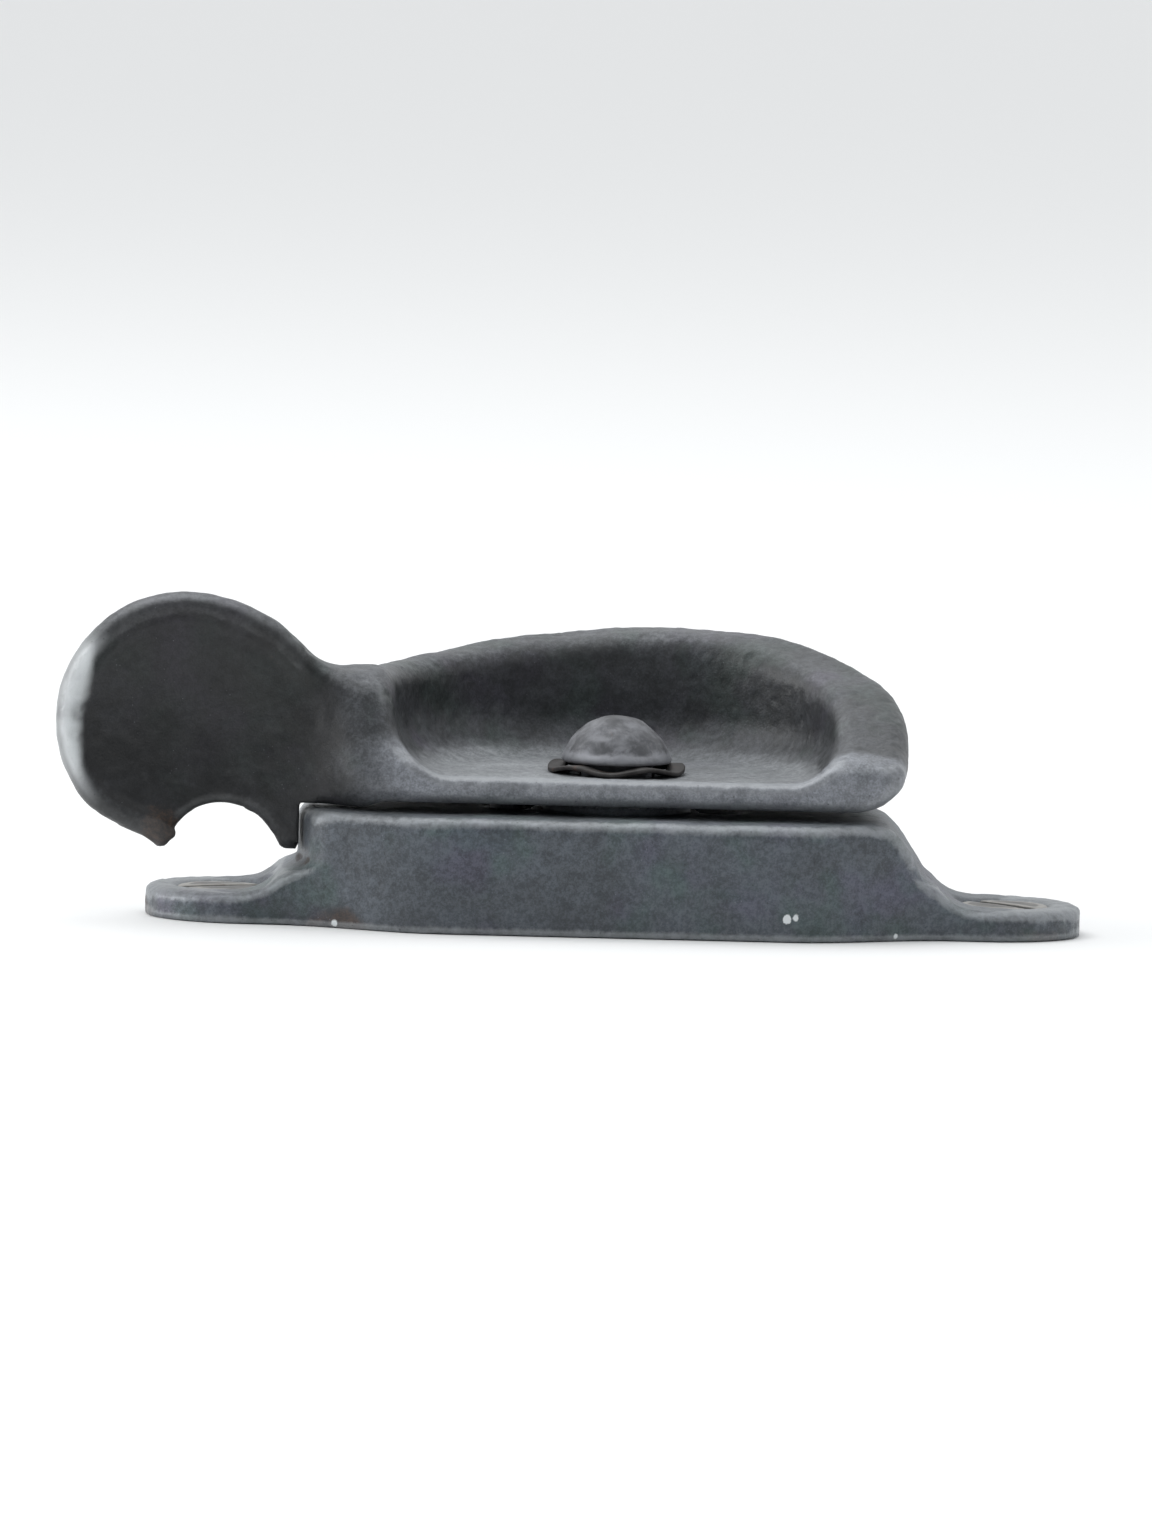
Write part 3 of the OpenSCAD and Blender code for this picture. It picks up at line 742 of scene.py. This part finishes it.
    # metal shows through only where it is rubbed
    clean = k.math("SUBTRACT", 1.0, k.math("MAXIMUM", k.math("MAXIMUM", d, rmask), paint_and_highlight), clamp=True)
    met = k.math("ADD", k.math("MULTIPLY", wear, 0.6), metallic)
    met = k.math("MULTIPLY", k.math("MULTIPLY", met, clean), k.math("SUBTRACT", 1.0, k.math("MULTIPLY", dark_tone_and_shade, 0.5)))
    k.put(k.bsdf.inputs["Metallic"], met)
    ro = k.math("ADD", k.math("MULTIPLY", mid, 0.30), 0.30)
    ro = k.math("SUBTRACT", ro, k.math("MULTIPLY", wear, 0.10))
    ro = k.math("ADD", ro, k.math("MULTIPLY", k.math("MAXIMUM", d, rmask), 0.3), clamp=True)
    k.put(k.bsdf.inputs["Roughness"], ro)
    nrm = k.bump(mid, 0.4, 0.08)
    nrm = k.bump(fine, 0.7, 0.06, nrm)
    nrm = k.bump(grain, 0.7, 0.03, nrm)
    nrm = k.bump(k.ramp(k.voronoi(0.62), 0.0, 0.25), 0.35, 0.03, nrm)
    k.put(k.bsdf.inputs["Normal"], nrm)
    return k.m


def plain_steel(name, dark, light, rust_amount=0.3, rough=0.4, metallic=0.85, brush=None, masks=True, grime_and_shade=0.6):
    k = Nodes(name)
    mid, fine = k.noise(1.3, 6, 0.62, 0.3), k.noise(0.25, 4, 0.6)
    col = k.mix(k.ramp(mid, 0.36, 0.64), dark, light)
    if masks:
        # near-black in the creases and where the occlusion mask finds the surface closed in: grime, and painted shade
        col = k.mix(k.math("MULTIPLY", k.ramp(k.math("ADD", k.attr("hollow"), k.attr("occ")), 0.2, 1.0), grime_and_shade), col, (0.012, 0.011, 0.010))
        wear = k.ramp(k.math("ADD", k.attr("edge"), k.math("MULTIPLY", k.math("SUBTRACT", mid, 0.5), 1.2)), 0.5, 1.0)
        col = k.mix(k.math("MULTIPLY", wear, 0.6), col, tuple(min(1, c * 2.0) for c in light))
    rmask = k.ramp(k.noise(2.1, 6, 0.7, 0.8), 0.62 - 0.2 * rust_amount, 0.78 - 0.2 * rust_amount)
    col = k.mix(k.math("MULTIPLY", rmask, 0.9 * min(1, rust_amount + 0.2)), col, k.mix(fine, (0.16, 0.06, 0.02), (0.07, 0.028, 0.014)))
    k.put(k.bsdf.inputs["Base Color"], col)
    k.put(k.bsdf.inputs["Metallic"], k.math("MULTIPLY", k.math("SUBTRACT", 1.0, k.math("MULTIPLY", rmask, 0.8)), metallic))
    k.put(k.bsdf.inputs["Roughness"], k.math("ADD", k.math("MULTIPLY", mid, 0.3), rough - 0.1, clamp=True))
    nrm = k.bump(mid, 0.4, 0.05)
    nrm = k.bump(fine, 0.4, 0.02, nrm)
    if brush:
        mp = k.t.nodes.new("ShaderNodeMapping")
        mp.inputs["Scale"].default_value = brush
        k.t.links.new(k.co, mp.inputs["Vector"])
        nrm = k.bump(k.noise(1.0, 3, 0.5, 0.0, mp.outputs["Vector"]), 0.5, 0.02, nrm)
    k.put(k.bsdf.inputs["Normal"], nrm)
    return k.m


# ---------------------------------------------------------------- build
def add(obj, mat, body, node):
    obj.data.materials.clear()
    obj.data.materials.append(mat)
    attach(obj, body)
    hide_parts(node)
    return obj


base_mat = cast_metal("base_iron", srgb(75, 79, 84), srgb(90, 96, 103), srgb(150, 153, 154), srgb(165, 168, 170), dust_and_top_light_amount=0.35, wear_amount=0.5,
                     flecks=(((12.6, -11.45, 1.70), 0.34), ((13.2, -11.45, 1.85), 0.24), ((-20.6, -8.6, 0.40), 0.24), ((20.7, -8.6, 0.40), 0.18)))
lever_mat = cast_metal("lever_iron", srgb(56, 58, 60), srgb(78, 80, 84), srgb(158, 161, 164), srgb(158, 160, 162), dust_and_top_light_amount=0.4, wear_amount=0.42)
rivet_mat = plain_steel("rivet_steel_dull", srgb(80, 81, 84), srgb(118, 119, 123), rust_amount=0.1, rough=0.5, metallic=0.4)
washer_mat = plain_steel("washer_steel_dull", srgb(44, 42, 41), srgb(70, 68, 67), rust_amount=0.45, rough=0.5, metallic=0.5, masks=False)
detent_mat = plain_steel("detent_steel_greasy", srgb(105, 106, 108), srgb(150, 151, 153), rust_amount=0.2, rough=0.35, masks=False, brush=(0.6, 9, 3))
spring_mat = plain_steel("spring_steel_blued", srgb(70, 76, 92), srgb(112, 118, 132), rust_amount=0.15, rough=0.3, masks=False, brush=(0.4, 0.4, 8))
screw_mat = plain_steel("screw_steel_dull", srgb(84, 83, 81), srgb(128, 126, 122), rust_amount=0.45, rough=0.42, metallic=0.75)

add(build_base(), base_mat, "base", "base_casting")
add(build_lever(), lever_mat, "lever", "crescent_lever")
add(build_rivet(), rivet_mat, "lever", "pivot_rivet")
add(build_wave_washer(), washer_mat, "lever", "wave_washer")
add(build_screw("screw_left", -SCREW_X, math.radians(25)), screw_mat, "base", "mounting_screw_left")
add(build_screw("screw_right", SCREW_X, math.radians(-50)), screw_mat, "base", "mounting_screw_right")

for node, mat in (("detent_cam", detent_mat), ("retaining_washer", detent_mat), ("hairpin_spring", spring_mat)):
    ob = bpy.data.objects.get(node)
    for s in ob.material_slots:
        s.material = mat

# ---------------------------------------------------------------- floor, light and camera
def floor():
    n = 24
    s = 9000.0
    g = np.linspace(-s, s, n + 1)
    v = [(a, b, -0.02) for a in g for b in g]
    q = [(i * (n + 1) + j, (i + 1) * (n + 1) + j, (i + 1) * (n + 1) + j + 1, i * (n + 1) + j + 1) for i in range(n) for j in range(n)]
    o = make_mesh("floor", np.array(v), np.array(q), {}, smooth=False)
    k = Nodes("floor_pale")
    k.put(k.bsdf.inputs["Base Color"], (0.85, 0.85, 0.845, 1))
    k.put(k.bsdf.inputs["Roughness"], 0.8)
    o.data.materials.append(k.m)


floor()

world = bpy.data.worlds.new("studio")
scene.world = world
world.use_nodes = True
wt = world.node_tree
bg = wt.nodes["Background"]
bg.inputs[1].default_value = 1.0
# a white sweep behind and above the part, a dim room on the camera's side
wtc = wt.nodes.new("ShaderNodeTexCoord")
wsep = wt.nodes.new("ShaderNodeSeparateXYZ")
wmap = wt.nodes.new("ShaderNodeMapRange")
wmap.interpolation_type = "SMOOTHSTEP"
wmap.inputs["From Min"].default_value = -0.70
wmap.inputs["From Max"].default_value = 0.10
wmix = wt.nodes.new("ShaderNodeMix")
wmix.data_type = "RGBA"
wmix.inputs[6].default_value = (0.22, 0.235, 0.25, 1)
wmix.inputs[7].default_value = (0.97, 0.985, 1.0, 1)
wt.links.new(wtc.outputs["Generated"], wsep.inputs[0])
wsum = wt.nodes.new("ShaderNodeMath")
wsum.operation = "MULTIPLY_ADD"
wsum.inputs[1].default_value = 0.6
wt.links.new(wsep.outputs["Z"], wsum.inputs[0])
wt.links.new(wsep.outputs["Y"], wsum.inputs[2])
wt.links.new(wsum.outputs[0], wmap.inputs["Value"])
wt.links.new(wmap.outputs["Result"], wmix.inputs[0])
wt.links.new(wmix.outputs[2], bg.inputs[0])


def area(name, loc, target, size, power, color=(1, 1, 1)):
    li = bpy.data.lights.new(name, "AREA")
    li.shape = "RECTANGLE"
    li.size, li.size_y = size
    li.energy = power
    li.color = color
    o = bpy.data.objects.new(name, li)
    scene.collection.objects.link(o)
    o.location = loc
    d = [t - p for t, p in zip(target, loc)]
    from mathutils import Vector
    o.rotation_mode = "QUATERNION"
    o.rotation_quaternion = Vector(d).to_track_quat("-Z", "Y")


area("sky", (-0.20, 0.12, 0.75), (0, 0, 0), (0.8, 0.8), 2.8, (0.97, 0.99, 1.0))
area("left_sheet", (-0.75, 0.05, 0.22), (0, 0, 0.015), (0.5, 0.5), 3.0, (1.0, 1.0, 1.0))

cam = bpy.data.cameras.new("camera")
co = bpy.data.objects.new("camera", cam)
scene.collection.objects.link(co)
from mathutils import Vector, Quaternion
az, el, dist = math.radians(-1.0), math.radians(5.0), 0.95
target = Vector((-0.0030, 0.0, 0.0115))
back = Vector((math.sin(az) * math.cos(el), -math.cos(az) * math.cos(el), math.sin(el)))
co.location = target + back * dist
co.rotation_mode = "QUATERNION"
roll = Quaternion((0, 0, 1), math.radians(1.5))
co.rotation_quaternion = (-back).to_track_quat("-Z", "Y") @ roll
cam.sensor_width = 36
cam.sensor_fit = "AUTO"
# the long side of the frame is the height: 36 mm covers 1536 px, and the width is 27 mm
cam.lens = 27 * dist / 0.0855
cam.clip_start, cam.clip_end = 0.01, 20
scene.camera = co
scene.view_settings.view_transform = "Standard"
scene.view_settings.look = "None"
